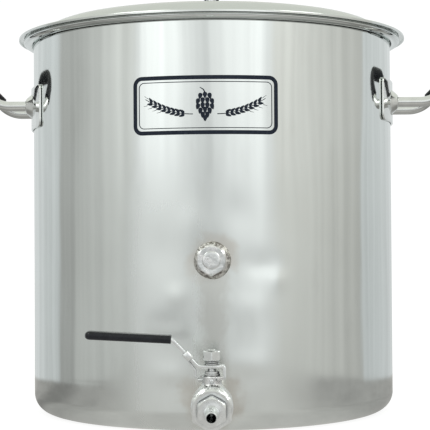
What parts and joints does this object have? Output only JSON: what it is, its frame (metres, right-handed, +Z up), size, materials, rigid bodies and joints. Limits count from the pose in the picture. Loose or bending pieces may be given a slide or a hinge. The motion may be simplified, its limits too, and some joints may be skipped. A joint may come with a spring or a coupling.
{
  "type": "brew kettle",
  "caption": "Deep-drawn steel brew kettle with loose domed lid, two side handles, a plugged thermometer port and a lever ball valve ending in a hose barb.",
  "frame": {"origin": "centre of the flat underside of the pot, on the surface it stands on", "axes": "+Z up along the pot's axis; the two ports and the hose barb face -Y; the side handles point along +X and -X"},
  "size_m": [0.5777, 0.556, 0.491],
  "materials": {
    "shell_steel": "polished deep-drawn stainless sheet with a faint vertical grain",
    "polished_steel": "bright polished stainless",
    "machined_steel": "machined stainless with fine turning marks",
    "cast_steel": "investment-cast stainless, satin with a fine grain",
    "weld_metal": "rippled weld bead with slight heat tint",
    "silicone_grip": "matte black silicone",
    "vinyl_sleeve": "glossy black dipped vinyl",
    "ptfe": "white PTFE",
    "badge_print": "dark printed badge film"
  },
  "bodies": {
    "kettle": {"kettle_shell": "shell_steel", "handle_bracket_left": "polished_steel", "handle_bracket_right": "polished_steel", "handle_boss_left_front": "polished_steel", "handle_boss_left_rear": "polished_steel", "handle_boss_right_front": "polished_steel", "handle_boss_right_rear": "polished_steel", "handle_bar_left": "polished_steel", "handle_bar_right": "polished_steel", "handle_grip_left": "silicone_grip", "handle_grip_right": "silicone_grip", "upper_port_coupling": "machined_steel", "upper_port_weld": "weld_metal", "upper_port_plug": "cast_steel", "drain_coupling": "machined_steel", "drain_weld": "weld_metal", "drain_nipple": "machined_steel", "valve_body": "cast_steel", "valve_end_cap": "cast_steel", "valve_body_seal": "ptfe", "ball_seat_rear": "ptfe", "ball_seat_front": "ptfe", "hose_barb": "machined_steel", "stem_packing": "ptfe", "stem_gland": "machined_steel"},
    "lid": {"lid_shell": "shell_steel", "lid_handle_plate": "polished_steel", "lid_handle_boss_front": "polished_steel", "lid_handle_boss_rear": "polished_steel", "lid_handle_bar": "polished_steel", "lid_handle_grip": "silicone_grip"},
    "lever": {"lever_arm": "machined_steel", "lever_sleeve": "vinyl_sleeve", "valve_stem": "machined_steel", "stem_thrust_washer": "ptfe", "valve_ball": "polished_steel", "stem_spring_washer": "machined_steel", "stem_nut": "machined_steel"},
    "lock": {"lever_lock": "machined_steel"}
  },
  "joints": [
    {"name": "lid_lift", "type": "slide", "parent": "kettle", "child": "lid", "axis": [0, 0, 1], "range_m": [0, 0.15]},
    {"name": "valve_lever", "type": "hinge", "parent": "kettle", "child": "lever", "pos_m": [0, -0.256, 0.07], "axis": [0, 0, 1], "range_deg": [0, 90]},
    {"name": "lever_lock_slide", "type": "slide", "parent": "lever", "child": "lock", "axis": [-0.6912, 0, 0.7226], "range_m": [-0.0045, 0]}
  ]
}
